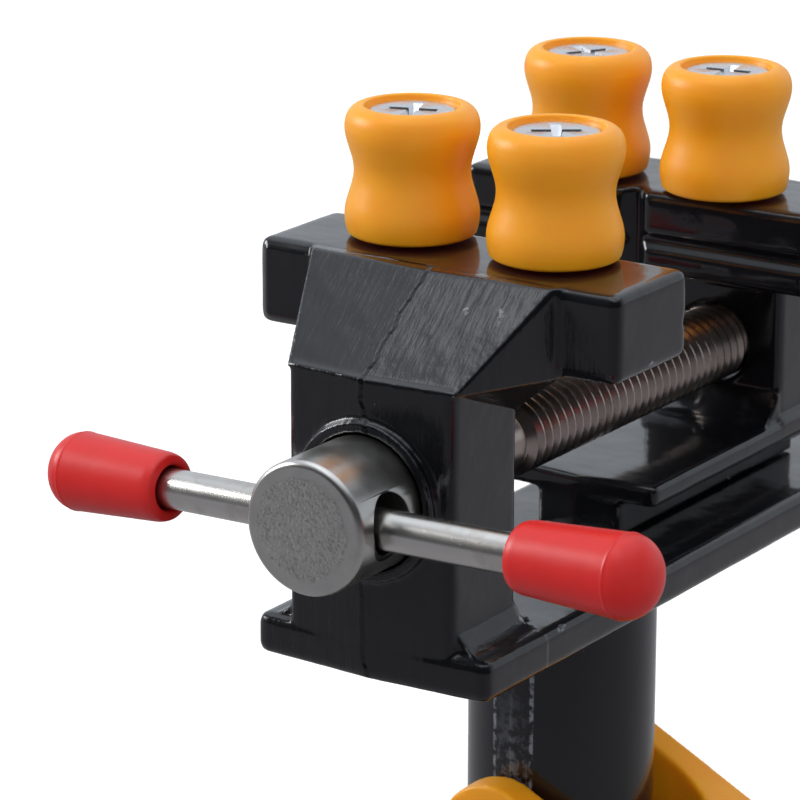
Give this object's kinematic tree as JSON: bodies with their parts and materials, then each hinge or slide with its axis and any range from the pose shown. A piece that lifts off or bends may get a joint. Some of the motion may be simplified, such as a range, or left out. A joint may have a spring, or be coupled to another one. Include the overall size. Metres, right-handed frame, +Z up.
{
  "type": "circuit board vise",
  "caption": "Small two-jaw screw vise with waisted plastic rollers on its jaws and a cross-bar screw, on a swivelling post with a cam-lever suction base.",
  "frame": {"origin": "at table level, under the middle of the overall length and width; the post axis stands 9.6 mm in front of it at y = -0.0096 m", "axes": "+Z up along the post, +Y along the screw from the fixed jaw to the moving jaw, +X to the right seen from the screw's handle"},
  "size_m": [0.0885, 0.1366, 0.1268],
  "materials": {
    "black_paint": "gloss black enamel over a lightly textured die casting",
    "orange_nylon": "satin, slightly translucent moulded nylon",
    "red_plastic": "semi-gloss soft moulded plastic with a parting line",
    "nickel_steel": "nickel plated turned steel, pitted end face",
    "zinc_steel": "bright zinc plated steel",
    "black_plastic": "fine-grained moulded black plastic",
    "white_nylon": "natural nylon",
    "rubber": "matte black rubber"
  },
  "bodies": {
    "base": {"base_housing": "black_plastic", "guide_bush": "white_nylon", "suction_cup": "rubber", "return_spring": "zinc_steel"},
    "post": {"post": "black_paint", "cup_plate": "zinc_steel", "cup_bolt": "zinc_steel", "pivot_pin": "zinc_steel", "pivot_clip": "zinc_steel", "swivel_washer": "black_plastic", "swivel_bolt": "zinc_steel"},
    "lever": {"lever_fork": "orange_nylon"},
    "vise": {"fixed_jaw_and_bed": "black_paint", "roller_screw_front_left": "zinc_steel", "roller_screw_front_right": "zinc_steel"},
    "moving_jaw": {"moving_jaw": "black_paint", "keeper_plate": "zinc_steel", "keeper_screw": "zinc_steel", "roller_screw_rear_left": "zinc_steel", "roller_screw_rear_right": "zinc_steel"},
    "spindle": {"spindle": "nickel_steel", "spindle_washer": "zinc_steel", "spindle_clip": "zinc_steel"},
    "handle": {"tommy_bar": "nickel_steel", "cap_left": "red_plastic", "cap_right": "red_plastic"},
    "roller_front_left": {"roller_front_left": "orange_nylon"},
    "roller_front_right": {"roller_front_right": "orange_nylon"},
    "roller_rear_left": {"roller_rear_left": "orange_nylon"},
    "roller_rear_right": {"roller_rear_right": "orange_nylon"}
  },
  "joints": [
    {"name": "post_lift", "type": "slide", "parent": "base", "child": "post", "axis": [0, 0, 1], "range_m": [-0.003, 0], "deforming": ["suction_cup", "return_spring"]},
    {"name": "lever_turn", "type": "hinge", "parent": "post", "child": "lever", "pos_m": [0, -0.0096, 0.0339], "axis": [0, -1, 0], "range_deg": [0, 42]},
    {"name": "swivel", "type": "hinge", "parent": "post", "child": "vise", "pos_m": [0, -0.0096, 0.064], "axis": [0, 0, 1], "continuous": true},
    {"name": "spindle_turn", "type": "hinge", "parent": "vise", "child": "spindle", "pos_m": [0, -0.0096, 0.086], "axis": [0, 1, 0], "range_deg": [-5340, 4770]},
    {"name": "jaw_slide", "type": "slide", "parent": "vise", "child": "moving_jaw", "axis": [0, 1, 0], "range_m": [-0.0233, 0.0261]},
    {"name": "handle_slide", "type": "slide", "parent": "spindle", "child": "handle", "axis": [0.9945, -0.0889, 0.0556], "range_m": [-0.0179, 0.0158]},
    {"name": "roller_front_left_spin", "type": "hinge", "parent": "vise", "child": "roller_front_left", "pos_m": [-0.01, -0.02895, 0.111], "axis": [0, 0, 1], "continuous": true},
    {"name": "roller_front_right_spin", "type": "hinge", "parent": "vise", "child": "roller_front_right", "pos_m": [0.01, -0.02895, 0.111], "axis": [0, 0, 1], "continuous": true},
    {"name": "roller_rear_left_spin", "type": "hinge", "parent": "moving_jaw", "child": "roller_rear_left", "pos_m": [-0.01, 0.01105, 0.111], "axis": [0, 0, 1], "continuous": true},
    {"name": "roller_rear_right_spin", "type": "hinge", "parent": "moving_jaw", "child": "roller_rear_right", "pos_m": [0.01, 0.01105, 0.111], "axis": [0, 0, 1], "continuous": true}
  ],
  "couplings": [
    {"joint": "lever_turn", "follows": "post_lift", "rad_per_m": -244.34},
    {"joint": "jaw_slide", "follows": "spindle_turn", "m_per_rad": -0.00027852}
  ]
}
